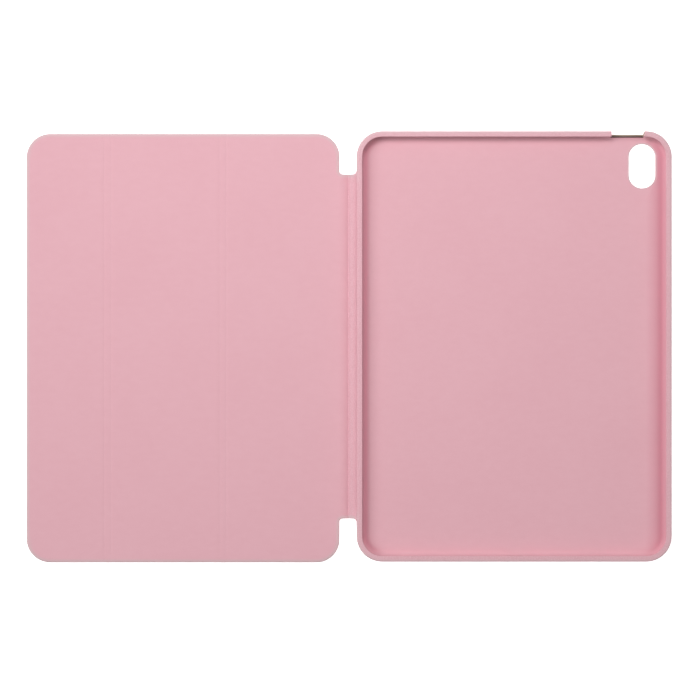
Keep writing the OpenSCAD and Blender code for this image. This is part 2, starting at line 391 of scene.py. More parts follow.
@once
def moulded_core():
    g = Graph("taupe moulded core")
    c = colours()
    fleck = g.noise(0.0005, 3.0, 0.6)
    flow = g.noise(0.008, 2.0, 0.5, (1.0, 1.0, 6.0))
    deep, pale = toned(c.core, (0.82,) * 3), toned(c.core, (1.12,) * 3)
    colour = g.mix(g.ramp(fleck * 0.5 + flow * 0.5, 0.35, 0.65), deep, pale)
    # Painted shade: the core is darkened towards the channel shade colour low down, at the floor of
    # the gap's channel.
    colour = g.mix(g.ramp(g.height(), 1.2 * MM, 2.8 * MM), c.channel_shade, colour)
    return g.finish(
        Base_Color=colour,
        Roughness=g.ramp(flow, 0.3, 0.7, 0.55, 0.72),
        Normal=g.bump(fleck, 0.00003, 0.5),
        Specular_IOR_Level=0.35,
    )


@once
def fibreboard():
    g = Graph("grey fibreboard")
    c = colours()
    fibre = g.noise(0.0012, 4.0, 0.65, (1.0, 0.3, 1.0))
    fleck = g.noise(0.0006, 1.0)
    deep, pale = toned(c.board, (0.8,) * 3), toned(c.board, (1.15,) * 3)
    colour = g.mix(g.ramp(fibre * 0.7 + fleck * 0.3, 0.35, 0.65), deep, pale)
    return g.finish(
        Base_Color=colour,
        Roughness=g.ramp(fibre, 0.3, 0.7, 0.85, 0.97),
        Normal=g.bump(fibre, 0.00005, 0.5),
    )


def metal(name, tone, brushed, rough):
    """A drawn or plated metal whose fine lines run along Y."""
    g = Graph(name)
    line = g.noise(0.0004, 3.0, 0.6, (1.0, brushed, 1.0))
    stain = g.noise(0.006, 2.0)
    colour = g.mix(g.ramp(stain, 0.35, 0.65), [v * 0.86 for v in tone], tone)
    return g.finish(
        Base_Color=colour,
        Metallic=1.0,
        Roughness=rough + 0.12 * (line - 0.5) + 0.1 * (stain - 0.5),
        Normal=g.bump(line, 0.00001, 0.4),
    )


@once
def magnet_metal():
    return metal("nickel plate", (0.62, 0.61, 0.59), 1.0, 0.3)


@once
def strip_steel():
    return metal("rolled steel", (0.56, 0.57, 0.58), 0.04, 0.38)


@once
def floor_paper():
    g = Graph("studio floor")
    c = colours()
    grain = g.noise(0.002, 2.0)
    colour = g.mix(grain, [v * 0.995 for v in c.floor], c.floor)
    return g.finish(
        Base_Color=colour,
        Roughness=g.ramp(grain, 0.3, 0.7, 0.9, 0.96),
        Specular_IOR_Level=0.1,
        Emission_Color=(1.0, 1.0, 1.0, 1.0),
        Emission_Strength=0.8,
    )


# ---- Meshes ----


def to_object(name, mesh, material, smooth=40.0):
    """An object at the origin with one material, smooth except at its sharp edges."""
    mesh.materials.clear()
    mesh.materials.append(material)
    mesh.shade_smooth()
    mesh.set_sharp_from_angle(angle=math.radians(smooth))
    return put(name, mesh)


def put(name, data):
    """A new object at the origin."""
    obj = bpy.data.objects.new(name, data)
    bpy.context.scene.collection.objects.link(obj)
    return obj


def mark(mesh, name, amounts):
    """Stores an amount from 0 to 1 at each point."""
    layer = mesh.attributes.new(name, "FLOAT", "POINT")
    layer.data.foreach_set("value", np.asarray(amounts, np.float32))


def fall(distance, radius):
    """How far a rounded edge has fallen, at a distance in from it."""
    lack = np.clip(radius - distance, 0, radius)
    return radius - np.sqrt(radius * radius - lack * lack)


def step(value, start, end):
    """0 before start, 1 after end, and smooth between."""
    t = np.clip((value - start) / (end - start), 0, 1)
    return t * t * (3 - 2 * t)


def arc(centre, radius, start, end, count):
    """Points of an arc, with its angles in degrees."""
    angles = np.radians(np.linspace(start, end, count + 1))
    return [(centre[0] + radius * math.cos(a), centre[1] + radius * math.sin(a)) for a in angles]


def cover_reach(x):
    """The cover's lowest and highest Y at one X."""
    s = sizes()
    free, spine = s.free_corner / MM, s.spine_corner / MM
    drop = 0.0
    if x < FREE_EDGE + free:
        drop = fall(x - FREE_EDGE, free)
    elif x > COVER_EDGE - spine:
        drop = fall(COVER_EDGE - x, spine)
    return COVER_LOW + drop, COVER_HIGH - drop


def strip_reach(x):
    """The spine strip's lowest and highest Y at one X, with its fillets."""
    near = max(min(x - COVER_EDGE, TRAY_EDGE - x), 0.0)
    flare = fall(near, sizes().notch_fillet / MM)
    return -STRIP_END - flare, STRIP_END + flare


def outline():
    """The edge of the cover and the strip, from the tray's bottom notch round to its top notch."""
    fillet = sizes().notch_fillet / MM
    across = np.concatenate([
        np.linspace(TRAY_EDGE + BACK_EDGE_R, TRAY_EDGE, 2),
        TRAY_EDGE - fillet * (1 - np.cos(np.linspace(0, math.pi / 2, 12))),
        COVER_EDGE + fillet * (1 - np.cos(np.linspace(math.pi / 2, 0, 12))),
    ])
    bottom = [(x, strip_reach(x)[0]) for x in across]
    free, spine = sizes().free_corner / MM, sizes().spine_corner / MM
    back = np.concatenate([
        COVER_EDGE - spine * (1 - np.cos(np.linspace(0, math.pi / 2, 24))),
        FREE_EDGE + free * (1 - np.cos(np.linspace(math.pi / 2, 0, 24))),
    ])
    bottom += [(x, cover_reach(x)[0]) for x in back]
    notch = -STRIP_END - fillet - 0.1
    on_cover = [(x, y) for x, y in bottom if x <= COVER_EDGE and y < notch]
    top = [(x, COVER_LOW + COVER_HIGH - y) for x, y in on_cover[::-1]]
    top += [(x, strip_reach(x)[1]) for x in across[::-1]]
    return np.array(bottom + top)


def edge_distance(x, y, line):
    """How far each point is from the outline."""
    start, end = line[:-1], line[1:]
    along = end - start
    length = np.maximum((along**2).sum(1), 1e-12)
    points = np.stack([x.ravel(), y.ravel()], 1)
    best = np.full(len(points), 1e9)
    for a, d, square in zip(start, along, length):
        t = np.clip(((points - a) @ d) / square, 0, 1)
        best = np.minimum(best, np.hypot(*(points - a - t[:, None] * d).T))
    return best.reshape(x.shape)


# Distances in from an edge where rows and columns lie close together, and where they follow a fillet
BAND = np.array([0.0, 0.08, 0.22, 0.45, 0.8, 1.2, 1.8, 2.6, 3.6])
FILLET_STEPS = (0.0, 0.05, 0.15, 0.3, 0.55, 0.9, 1.3, 1.7, 2.0)
# How many rows lie in the middle of a column, and on each side of the strip beside the spine
ROWS = 36
SIDE_ROWS = 5
# How far apart columns lie on a panel and on the spine strip
PANEL_STEP = 4.0
STRIP_STEP = 0.4


def between(low, high, count):
    return np.linspace(low, high, count + 2)[1:-1]


def banded(low, high, count):
    """Rows that lie close together at both edges, with count rows in the middle."""
    deep = BAND[-1]
    return np.concatenate([
        low + BAND, between(low + deep, high - deep, count), (high - BAND)[::-1]
    ])


def cover_rows(x):
    return banded(*cover_reach(x), ROWS)


def strip_rows(x):
    return banded(*strip_reach(x), ROWS)


def joined_rows(x):
    """Rows of a column beside the spine, where the strip's own rows run on into the cover."""
    on_cover = x <= COVER_EDGE
    inner = strip_rows(COVER_EDGE if on_cover else x)
    low, high = cover_reach(min(x, COVER_EDGE))
    deep = BAND[-1]
    return np.concatenate([
        low + BAND,
        between(low + deep, inner[0], SIDE_ROWS),
        inner,
        between(inner[-1], high - deep, SIDE_ROWS),
        (high - BAND)[::-1],
    ])


# Heights of the spine strip: in its crease, on the ridge beside it, and how its facing climbs
# from there to the rim, first on a slope and then on a curve
VALLEY = 0.9
RIDGE = 1.9
FACING_SLOPE = 0.16
FACING_RISE = 3.8
# How far inside the cover's edge the lining begins to slope down to the crease, and how sharply
FLANK = 1.0
FLANK_POWER = 2.4
# Each fold: how far its flat reaches and ends, its dip, and where its fine line lies and how wide
FOLD_FLAT, FOLD_END = 1.4, 3.0
FOLD_DIP = 0.06
FOLD_LINE, FOLD_LINE_WIDTH = 2.05, 0.5
# Where the pressed border begins and ends, and its share of depth outside
PRESS_FROM, PRESS_TO = 1.0, 2.4
PRESS_OUTSIDE = 0.6
# The skin's shallow bends outside the crease and the cover's hinge
BEND_DEPTH, BEND_WIDTH = 0.12, 0.5
# The lining's rounding on the strip, and the share of the edge colour at the cloth's edge, partly wear
# and partly painted sheen
STRIP_ROUND = 0.45
WEAR_AND_SHEEN = 0.95
# How far the spine's skin and its facing run on past the tray's edge
SKIN_RUN = 2.8
FACING_RUN = 0.4
# The least thickness of a layer
THINNEST = 0.05


class Cloth:
    """The two faces of the folding part: how high each lies over any point of the plan."""

    def __init__(self):
        self.line = outline()
        s = sizes()
        self.lining_round = s.lining_round / MM
        self.skin_round = s.skin_round / MM
        self.pressed = s.pressed_depth / MM
        self.fold_line = s.fold_line_depth / MM
        self.groove = s.fold_groove / MM

    def distance(self, x, y):
        return edge_distance(x, y, self.line)

    def top(self, x, y):
        """The face that lies upwards when the case is open."""
        edge = self.distance(x, y)
        height = np.full(x.shape, COVER_TOP)
        for fold in (FOLD_1, FOLD_2):
            off = np.abs(x - fold)
            height -= FOLD_DIP * (1 - step(off, FOLD_FLAT, FOLD_END))
            height -= self.fold_line * np.exp(-(((off - FOLD_LINE) / FOLD_LINE_WIDTH) ** 2))
        flank = np.clip((x - (COVER_EDGE - FLANK)) / (CREASE + 0.4 - COVER_EDGE + FLANK), 0, 1)
        height -= (COVER_TOP - VALLEY) * flank**FLANK_POWER
        height += (RIDGE - VALLEY) * step(x, CREASE + 0.4, CREASE + 1.9)
        height += FACING_SLOPE * np.clip(x - CREASE - 0.6, 0, None)
        height += fall(np.clip(TRAY_EDGE - x, 0, FACING_RISE), FACING_RISE) * (x > CREASE + 0.6)
        height -= self.pressed * (1 - step(edge, PRESS_FROM, PRESS_TO)) * (x < COVER_EDGE)
        blend = step(x, COVER_EDGE - FLANK, COVER_EDGE + FLANK)
        return height - fall(edge, self.lining_round + (STRIP_ROUND - self.lining_round) * blend)

    def bottom(self, x, y):
        """The face that lies on the table."""
        edge = self.distance(x, y)
        height = fall(edge, self.skin_round)
        pressed = self.pressed * PRESS_OUTSIDE
        height += pressed * (1 - step(edge, PRESS_FROM, PRESS_TO)) * (x < COVER_EDGE)
        for fold in (FOLD_1, FOLD_2):
            height += self.groove * (1 - step(np.abs(x - fold), 0.3, 2.2))
        for bend in (CREASE, hinge("cover_hinge").x):
            height += BEND_DEPTH * np.exp(-(((x - bend) / BEND_WIDTH) ** 2))
        height += BEND_DEPTH * step(x, TRAY_EDGE + 2.0, TRAY_EDGE + SKIN_RUN)
        return height

    def on_board(self, x, y):
        """1 over a panel's board, 0 off it, and smooth between."""
        share = step(self.distance(x, y), 1.3, 1.9)
        for fold in (FOLD_1, FOLD_2):
            share = share * step(np.abs(x - fold), FOLD_END, FOLD_END + 1.0)
        return share * (1 - step(x, COVER_EDGE - 2.0, COVER_EDGE - 1.3))

    def seam(self, x, y):
        """Where the lining and the skin meet."""
        web = sum(1 - step(np.abs(x - fold), 1.3, FOLD_END) for fold in (FOLD_1, FOLD_2))
        spine = step(x, COVER_EDGE - 1.0, COVER_EDGE + 0.5)
        return BOARD_LOW.z + 0.42 * web - 0.16 * spine

    def board_top(self, x, y):
        """The lining's underside, which is lifted over each board."""
        return self.seam(x, y) + (BOARD_HIGH.z + 0.02 - BOARD_LOW.z) * self.on_board(x, y)

    def wear_and_sheen(self, x, y):
        """How much edge colour each point gets, partly wear and partly painted sheen: most at the
        edge, and not beside the tray.
        """
        near = 1 - step(self.distance(x, y), 0.3, 2.7)
        return WEAR_AND_SHEEN * near * (1 - step(x, TRAY_EDGE - 1.5, TRAY_EDGE))


def slab(name, xs, rows, under, over, amount, material, active=None):
    """A closed thin solid between two faces, over a grid of columns and rows."""
    y = np.array([rows(x) for x in xs])
    x = np.repeat(np.array(xs)[:, None], y.shape[1], 1)
    low, high = under(x, y), over(x, y)
    high = np.maximum(high, low + THINNEST)
    nx, ny = x.shape
    if active is None:
        active = np.ones((nx - 1, ny - 1), bool)
    used = np.zeros((nx, ny), bool)
    for di in (0, 1):
        for dj in (0, 1):
            used[di : nx - 1 + di, dj : ny - 1 + dj] |= active
    index = np.full((nx, ny), -1)
    index[used] = np.arange(used.sum())
    count = int(used.sum())
    points = np.concatenate([
        np.stack([x[used], y[used], high[used]], 1), np.stack([x[used], y[used], low[used]], 1)
    ]) * MM
    faces = []
    for i in range(nx - 1):
        for j in range(ny - 1):
            if not active[i, j]:
                continue
            ring = [index[i, j], index[i + 1, j], index[i + 1, j + 1], index[i, j + 1]]
            faces.append(ring)
            faces.append([k + count for k in reversed(ring)])
            for step_i, step_j, a, b in ((0, -1, 0, 1), (1, 0, 1, 2), (0, 1, 2, 3), (-1, 0, 3, 0)):
                m, n = i + step_i, j + step_j
                if 0 <= m < nx - 1 and 0 <= n < ny - 1 and active[m, n]:
                    continue
                faces.append([ring[a], ring[a] + count, ring[b] + count, ring[b]])
    mesh = bpy.data.meshes.new(name)
    mesh.from_pydata(points.tolist(), [], [[int(k) for k in face] for face in faces])
    amounts = amount(x, y)[used]
    mark(mesh, "edge", np.concatenate([amounts, amounts]))
    mesh.validate()
    return to_object(name, mesh, material)


def columns(start, end, coarse, fine=()):
    """Column places from start to end: coarse steps, and fine ones round each (place, reach, step)."""
    places = set(np.round(np.linspace(start, end, max(2, int((end - start) / coarse) + 1)), 4))
    for place, reach, gap in fine:
        for k in range(-int(reach / gap), int(reach / gap) + 1):
            x = round(place + k * gap, 4)
            if start < x < end:
                places.add(x)
    kept = []
    for x in sorted(places):
        if not kept or x - kept[-1] > 0.05 or x == end:
            kept.append(x)
    return [float(x) for x in kept]


# How far from a fold its columns lie close together, and how close
FOLD_FINE = (3.2, 0.2)


def free_columns(end):
    """Columns from the free edge, close together round its corners."""
    free = sizes().free_corner / MM
    round_corner = [FREE_EDGE + free * (1 - math.cos(math.radians(a))) for a in range(0, 91, 6)]
    near = [FREE_EDGE + b for b in BAND]
    rest = columns(FREE_EDGE + free, end, PANEL_STEP, [(FOLD_1, *FOLD_FINE)])
    return tidy_places(round_corner + near + rest)


def spine_columns(start):
    """Columns to the cover's edge beside the spine, close together round its corners."""
    spine = sizes().spine_corner / MM
    round_corner = [COVER_EDGE - spine * (1 - math.cos(math.radians(a))) for a in range(0, 91, 6)]
    near = [COVER_EDGE - b for b in BAND]
    rest = columns(start, COVER_EDGE - spine, PANEL_STEP)
    return tidy_places(rest + round_corner + near)


def tidy_places(places):
    kept = []
    for x in sorted(places):
        if not kept or x - kept[-1] > 0.03:
            kept.append(float(x))
    return kept


def strip_columns(start, end):
    return columns(start, end, STRIP_STEP, [(CREASE, 1.2, 0.12)])


def edge_fillet_columns(end):
    return tidy_places([COVER_EDGE + b for b in FILLET_STEPS]
                       + columns(COVER_EDGE + FILLET_STEPS[-1], end, STRIP_STEP))


def tray_fillet_columns(start, end):
    return tidy_places(columns(start, TRAY_EDGE - 2.5, STRIP_STEP) + [TRAY_EDGE - 2.25]
                       + [TRAY_EDGE - b for b in FILLET_STEPS]
                       + columns(TRAY_EDGE, end, STRIP_STEP))


def joined_grid():
    """Columns and live cells of the piece that runs from the last panel on to the strip."""
    cover = spine_columns(MID_3)
    cover[-1] = COVER_EDGE
    strip = edge_fillet_columns(MID_OUTER)[1:]
    xs = cover + strip
    rows = len(joined_rows(COVER_EDGE))
    side = len(BAND) + SIDE_ROWS
    active = np.ones((len(xs) - 1, rows - 1), bool)
    active[len(cover) - 1 :, :side] = False
    active[len(cover) - 1 :, rows - 1 - side :] = False
    return xs, active


# Half the width that bends at a fold, at the spine's hinges, and in the facing beside the tray
FOLD_BEND = 1.4
SPINE_BEND = 1.0
FACING_BEND = 2.2


def bend(obj, joint, left, right, half):
    """Bakes a piece's place into its mesh; it does not blend the piece from the body left of a joint
    to the one right of it.
    """
    pin = hinge(joint).x
    ends = [Vector((pin + side * half, 0, 0)) * MM for side in (-1, 1)]
    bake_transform(obj)


def folding_pieces():
    """Each piece of the cover: its key, columns, rows and live cells, then the joint it bends at,
    the body left of that, the body right of it and half the width that bends."""
    xs_joined, active = joined_grid()

    def panel_columns(start, end, fold):
        return columns(start, end, PANEL_STEP, [(fold, *FOLD_FINE)])

    return [
        ("1", free_columns(FOLD_1), cover_rows, None, "fold_1_far", "panel_1", "web_1", FOLD_BEND),
        ("2a", panel_columns(FOLD_1, MID_2, FOLD_1), cover_rows, None,
         "fold_1", "web_1", "panel_2", FOLD_BEND),
        ("2b", panel_columns(MID_2, FOLD_2, FOLD_2), cover_rows, None,
         "fold_2_far", "panel_2", "web_2", FOLD_BEND),
        ("3a", panel_columns(FOLD_2, MID_3, FOLD_2), cover_rows, None,
         "fold_2", "web_2", "panel_3", FOLD_BEND),
        ("3b", xs_joined, joined_rows, active,
         "cover_hinge", "panel_3", "spine_outer", SPINE_BEND),
    ]


# The CAD nodes that each piece of the cover stands for, in either layer
STANDS_FOR = {
    "1": ("panel_1", "web_1"),
    "2a": ("panel_2",),
    "2b": ("panel_2", "web_2"),
    "3a": ("panel_3",),
    "3b": ("panel_3", "spine_outer"),
}


def lay(made, on_strip):
    """Goes over a layer's pieces but does nothing with them. The last one has the strip's pieces."""
    for key, obj in made.items():
        on_strip if key == "3b" else ()


def build_cover(layer):
    """Makes the lining or the skin of the three panels, up to the middle of the strip's outer half."""
    cloth = Cloth()
    lining = layer == "lining"
    under, over = (cloth.board_top, cloth.top) if lining else (cloth.bottom, cloth.seam)
    made = {}
    for key, xs, rows, active, joint, left, right, half in folding_pieces():
        obj = slab(f"cover_{layer}_{key}", xs, rows, under, over, cloth.wear_and_sheen,
                   microfibre() if lining else leather(), active)
        bend(obj, joint, left, right, half)
        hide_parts(*[f"{body}_{layer}" for body in STANDS_FOR[key]])
        made[key] = obj
    return cloth, made


class CASE_OT_cover_lining(bpy.types.Operator):
    """Makes the microfibre that lines the three panels and the outer half of the spine"""

    bl_idname = "case.cover_lining"
    bl_label = "Cover lining"

    def execute(self, context):
        cloth, made = build_cover("lining")
        strip = slab("spine_lining", strip_columns(MID_OUTER, CREASE), strip_rows,
                     cloth.seam, cloth.top, cloth.wear_and_sheen, microfibre())
        bend(strip, "spine_crease", "spine_outer", "spine_inner", SPINE_BEND)
        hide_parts("spine_outer_lining")
        lay(made, [strip])
        return {"FINISHED"}


class CASE_OT_cover_skin(bpy.types.Operator):
    """Makes the leather-look skin outside the panels and the spine"""

    bl_idname = "case.cover_skin"
    bl_label = "Cover skin"

    def execute(self, context):
        cloth, made = build_cover("skin")
        crease = ("spine_crease", "spine_outer", "spine_inner")
        root = ("spine_root", "spine_inner", "tray")
        skin, facing = (cloth.bottom, cloth.seam), (cloth.seam, cloth.top)
        around = []
        for name, xs, faces, where, half, node in (
            ("spine_skin_a", strip_columns(MID_OUTER, MID_INNER), skin, crease,
             SPINE_BEND, "spine_outer_skin"),
            ("spine_skin_b", tray_fillet_columns(MID_INNER, TRAY_EDGE + SKIN_RUN), skin, root,
             SPINE_BEND, "spine_inner_skin"),
            ("spine_facing_a", strip_columns(CREASE, MID_INNER), facing, crease,
             SPINE_BEND, "spine_inner_lining"),
            ("spine_facing_b", tray_fillet_columns(MID_INNER, TRAY_EDGE + FACING_RUN), facing, root,
             FACING_BEND, "spine_inner_lining"),
        ):
            # The facing takes the leather painted lighter, as painted light.
            material = lightened_facing_leather() if "facing" in name else leather()
            obj = slab(name, xs, strip_rows, *faces, cloth.wear_and_sheen, material)
            bend(obj, *where, half)
            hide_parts(node)
            around.append(obj)
        lay(made, around)
        return {"FINISHED"}


# ---- Tray ----

TRAY_R = 15.0
TRAY_W = TRAY_HIGH.x - TRAY_LOW.x
TRAY_L = TRAY_HIGH.y - TRAY_LOW.y
TRAY_H = TRAY_HIGH.z
# The lip's reach in from the tray's side, its thickness and the rounding of the rim outside
LIP_W, LIP_T = 3.4, 1.2
RIM_R = 1.3
# Inside the skin: where the rim begins to round over, how much, and the skin's face under the rim
RIM_FROM_Z, RIM_INNER_R, UNDER_RIM_Z = 7.1, 0.7, 7.8
# The skin's thickness, the two faces of the lining's wall and the lining's underside
SKIN_T = 0.6
WALL_FACE, WALL_BACK = 2.3, 1.9
BED_BOTTOM = 1.6
# How far in the skin's and the lining's sections begin on the flat floor
BACK_REACH, BED_REACH = 11.0, 14.5


def tray_path():
    """Points on the way round the tray's corner centres, each with the way that points outwards."""
    stops = []
    for cx, cy, turn in ((1, 1, 0), (-1, 1, 90), (-1, -1, 180), (1, -1, 270)):
        centre = (TRAY_X + cx * (TRAY_W / 2 - TRAY_R), cy * (TRAY_L / 2 - TRAY_R))
        for a in np.linspace(turn, turn + 90, 17):
            stops.append((centre, (math.cos(math.radians(a)), math.sin(math.radians(a)))))
    full = []
    for k, (place, way) in enumerate(stops):
        full.append((place, way))
        after, _ = stops[(k + 1) % len(stops)]
        count = int(math.dist(place, after) / 8)
        for t in np.linspace(0, 1, count + 2)[1:-1]:
            full.append(([p + (q - p) * t for p, q in zip(place, after)], way))
    return full


def cleaned(mesh, dissolve):
    """Merges a closed mesh's doubled points and turns its faces outwards."""
    bm = bmesh.new()
    bm.from_mesh(mesh)
    bmesh.ops.remove_doubles(bm, verts=bm.verts, dist=1e-6)
    if dissolve:
        bmesh.ops.dissolve_degenerate(bm, edges=bm.edges, dist=1e-7)
    bmesh.ops.recalc_face_normals(bm, faces=bm.faces)
    bm.to_mesh(mesh)
    bm.free()


def swept(name, section):
    """Carries a section round the tray. It runs from the floor's top to its underside. Each of its
    points is a distance in from the tray's side, a height, how much edge colour it gets (partly wear,
    partly painted sheen), how much painted shade it gets beside the long walls and how much more
    it gets beside the far one."""
    path = tray_path()
    n, m = len(path), len(section)
    points, worn, dark = [], [], []
    for (px, py), (dx, dy) in path:
        for inward, z, amount, shade, far in section:
            x, y = px + dx * (TRAY_R - inward), py + dy * (TRAY_R - inward)
            beside = step(-x, -TRAY_EDGE - 4.0, -TRAY_EDGE - 3.0)
            joined = beside * step(STRIP_END + 2 - abs(y), 0, 2)
            points.append((x, y, z))
            worn.append(amount * (1 - joined))
            # Painted shade: the "corner" amount darkens the lining beside the long walls, and more
            # beside the far wall.
            dark.append(max(shade * (0.1 + 0.9 * abs(dx)), far * dx))
    faces = []
    for i in range(n):
        a, b = i * m, ((i + 1) % n) * m
        for j in range(m - 1):
            faces.append((a + j, a + j + 1, b + j + 1, b + j))
    faces.append([i * m for i in range(n)])
    faces.append([i * m + m - 1 for i in reversed(range(n))])
    mesh = bpy.data.meshes.new(name)
    mesh.from_pydata([tuple(float(c) * MM for c in p) for p in points], [], faces)
    mark(mesh, "edge", worn)
    mark(mesh, "corner", dark)
    cleaned(mesh, True)
    return mesh


def cutter(name, rings):
    """A closed solid for cutting, through rings of points that lie over each other."""
    bm = bmesh.new()
    rows = [[bm.verts.new([c * MM for c in spot]) for spot in ring] for ring in rings]
    for low, high in zip(rows, rows[1:]):
        for k in range(len(low)):
            j = (k + 1) % len(low)
            bm.faces.new((low[k], low[j], high[j], high[k]))
    bm.faces.new(rows[0])
    bm.faces.new(rows[-1])
    bmesh.ops.recalc_face_normals(bm, faces=bm.faces)
    mesh = bpy.data.meshes.new(name)
    bm.to_mesh(mesh)
    bm.free()
    return put(name, mesh)


def prism(name, profile, low, high):
    """A cutter that stands on the plan."""
    return cutter(name, [[(x, y, z) for x, y in profile] for z in (low, high)])


def slot_ring(width, length):
    """The ring of a slot with round ends that lies round the origin, long in its second way."""
    half = (length - width) / 2
    return arc((0, half), width / 2, 0, 180, 24) + arc((0, -half), width / 2, 180, 360, 24)


def box_ring(x0, y0, x1, y1):
    return [(x0, y0), (x1, y0), (x1, y1), (x0, y1)]


# The camera window, how far its turned edge covers it and how far out that edge is seated
CAMERA_W, CAMERA_L = 16.2, 26.6
WINDOW_COVER, WINDOW_SEAT = 0.3, 0.42
CAMERA_X = TRAY_HIGH.x - 16.6
CAMERA_Y = TRAY_HIGH.y - 20.0
# The power button gap: its ends, how deep the rim is cut away, how deep it is bare, and its channel
GAP_FROM, GAP_TO = TRAY_HIGH.x - 35.4, TRAY_HIGH.x - 15.8
GAP_CUT = 1.6
GAP_BARE = 3.4
GAP_CHANNEL_Z = 1.0
# The height of the speaker rows and the plug slot, the rows' place and the slot's size
HOLE_Z = 5.0
SPEAKER_FROM_SIDE = 51.0
PLUG_W, PLUG_H = 12.0, 4.2
# Heights that every cutter passes, below and above the tray
CUT_LOW, CUT_HIGH = -5, 15


def window_edge(grow, z):
    """The ring of the camera window at one height, so much wider all round."""
    ring = slot_ring(CAMERA_W + 2 * grow, CAMERA_L + 2 * grow)
    return [(CAMERA_X + x, CAMERA_Y + y, z) for x, y in ring]


def tray_cutters():
    top, past = TRAY_HIGH.y, TRAY_HIGH.y + 5
    gap = box_ring(GAP_FROM, top - GAP_CUT, GAP_TO, past)
    channel = box_ring(GAP_FROM, top - GAP_BARE, GAP_TO, past)
    plug = slot_ring(PLUG_H, PLUG_W)
    walls = (TRAY_LOW.y - 3, TRAY_LOW.y + 6)
    return [
        cutter("cut_camera", [window_edge(WINDOW_SEAT, z) for z in (CUT_LOW, CUT_HIGH)]),
        prism("cut_gap", gap, CUT_LOW, CUT_HIGH),
        prism("cut_channel", channel, GAP_CHANNEL_Z, CUT_HIGH),
        cutter("cut_plug", [[(TRAY_X + y, wall, HOLE_Z + x) for x, y in plug] for wall in walls]),
    ]


def baked(obj, keep_name):
    """The mesh that an object's modifiers make."""
    deps = bpy.context.evaluated_depsgraph_get()
    mesh = bpy.data.meshes.new_from_object(obj.evaluated_get(deps))
    mesh.name = keep_name
    return mesh


def perforation_tree(material):
    """Geometry Nodes: rows of round holes through a wall."""
    tree = bpy.data.node_groups.new("speaker holes", "GeometryNodeTree")
    face = tree.interface
    face.new_socket("Geometry", in_out="INPUT", socket_type="NodeSocketGeometry")
    for name, kind in (("Count", "NodeSocketInt"), ("Pitch", "NodeSocketFloat"),
                       ("Diameter", "NodeSocketFloat")):
        face.new_socket(name, in_out="INPUT", socket_type=kind)
    for row in range(3):
        face.new_socket(f"Row {row + 1}", in_out="INPUT", socket_type="NodeSocketVector")
    face.new_socket("Geometry", in_out="OUTPUT", socket_type="NodeSocketGeometry")

    def add(kind, settings=None, inputs=None):
        return add_node(tree, kind, settings, inputs)

    def math_node(operation, first, second):
        return add("ShaderNodeMath", {"operation": operation}, {0: first, 1: second}).outputs[0]

    source = add("NodeGroupInput")
    radius = math_node("MULTIPLY", source.outputs["Diameter"], 0.5)
    drill = add("GeometryNodeMeshCylinder", {"fill_type": "NGON"},
                {"Vertices": 16, "Radius": radius, "Depth": 8 * MM})
    shift = add("ShaderNodeCombineXYZ", {}, {0: source.outputs["Pitch"]})
    less = math_node("SUBTRACT", source.outputs["Count"], 1.0)
    back = math_node("MULTIPLY", less, source.outputs["Pitch"])
    start = add("ShaderNodeCombineXYZ", {}, {0: math_node("MULTIPLY", back, -0.5)})
    joined = add("GeometryNodeJoinGeometry")
    for row in range(3):
        first = add("ShaderNodeVectorMath", {"operation": "ADD"},
                    {0: source.outputs[f"Row {row + 1}"], 1: start.outputs[0]})
        line = add("GeometryNodeMeshLine", {"mode": "OFFSET"},
                   {"Count": source.outputs["Count"], "Start Location": first.outputs[0],
                    "Offset": shift.outputs[0]})
        tree.links.new(line.outputs[0], joined.inputs[0])
    holes = add("GeometryNodeInstanceOnPoints", {}, {
        "Points": joined.outputs[0], "Instance": drill.outputs[0],
        "Rotation": (math.radians(90), 0.0, 0.0),
    })
    solid = add("GeometryNodeRealizeInstances", {}, {0: holes.outputs[0]})
    cut = add("GeometryNodeMeshBoolean", {"operation": "DIFFERENCE", "solver": "EXACT"},
              {"Mesh 1": source.outputs["Geometry"], "Mesh 2": solid.outputs[0]})
    whole = add("GeometryNodeRealizeInstances", {}, {0: cut.outputs[0]})
    done = add("GeometryNodeSetMaterial", {}, {"Geometry": whole.outputs[0], "Material": material})
    add("NodeGroupOutput", {}, {0: done.outputs[0]})
    return tree


def open_up(mesh, name, material, bevel):
    """Cuts the tray's openings into a layer, softens their edges, and drills its speaker holes."""
    obj = put(name + "_blank", mesh)
    tools = tray_cutters()
    for tool in tools:
        cut = obj.modifiers.new("cut", "BOOLEAN")
        cut.operation, cut.solver, cut.object = "DIFFERENCE", "EXACT", tool
    soft = obj.modifiers.new("soft", "BEVEL")
    soft.width, soft.segments = bevel * MM, 2
    soft.limit_method, soft.angle_limit = "ANGLE", math.radians(50)
    soft.use_clamp_overlap = True
    opened = baked(obj, name)
    obj.modifiers.clear()
    obj.data = opened
    for tool in tools:
        bpy.data.objects.remove(tool)
    s = sizes()
    tree = perforation_tree(material)
    drill = obj.modifiers.new("speaker holes", "NODES")
    drill.node_group = tree
    sockets = {i.name: i.identifier for i in tree.interface.items_tree if i.in_out == "INPUT"}
    off = TRAY_W / 2 - SPEAKER_FROM_SIDE
    values = {
        "Count": s.holes, "Pitch": s.hole_pitch, "Diameter": s.hole_diameter,
        "Row 1": (TRAY_X + off, TRAY_HIGH.y), "Row 2": (TRAY_X + off, TRAY_LOW.y),
        "Row 3": (TRAY_X - off, TRAY_LOW.y),
    }
    for key, value in values.items():
        if key.startswith("Row"):
            value = (value[0] * MM, value[1] * MM, HOLE_Z * MM)
        drill[sockets[key]] = value
    drilled = baked(obj, name)
    bpy.data.objects.remove(obj)
    whole = to_object(name, drilled, material, 35)
    even = whole.modifiers.new("even", "WEIGHTED_NORMAL")
    even.keep_sharp = True
    return whole


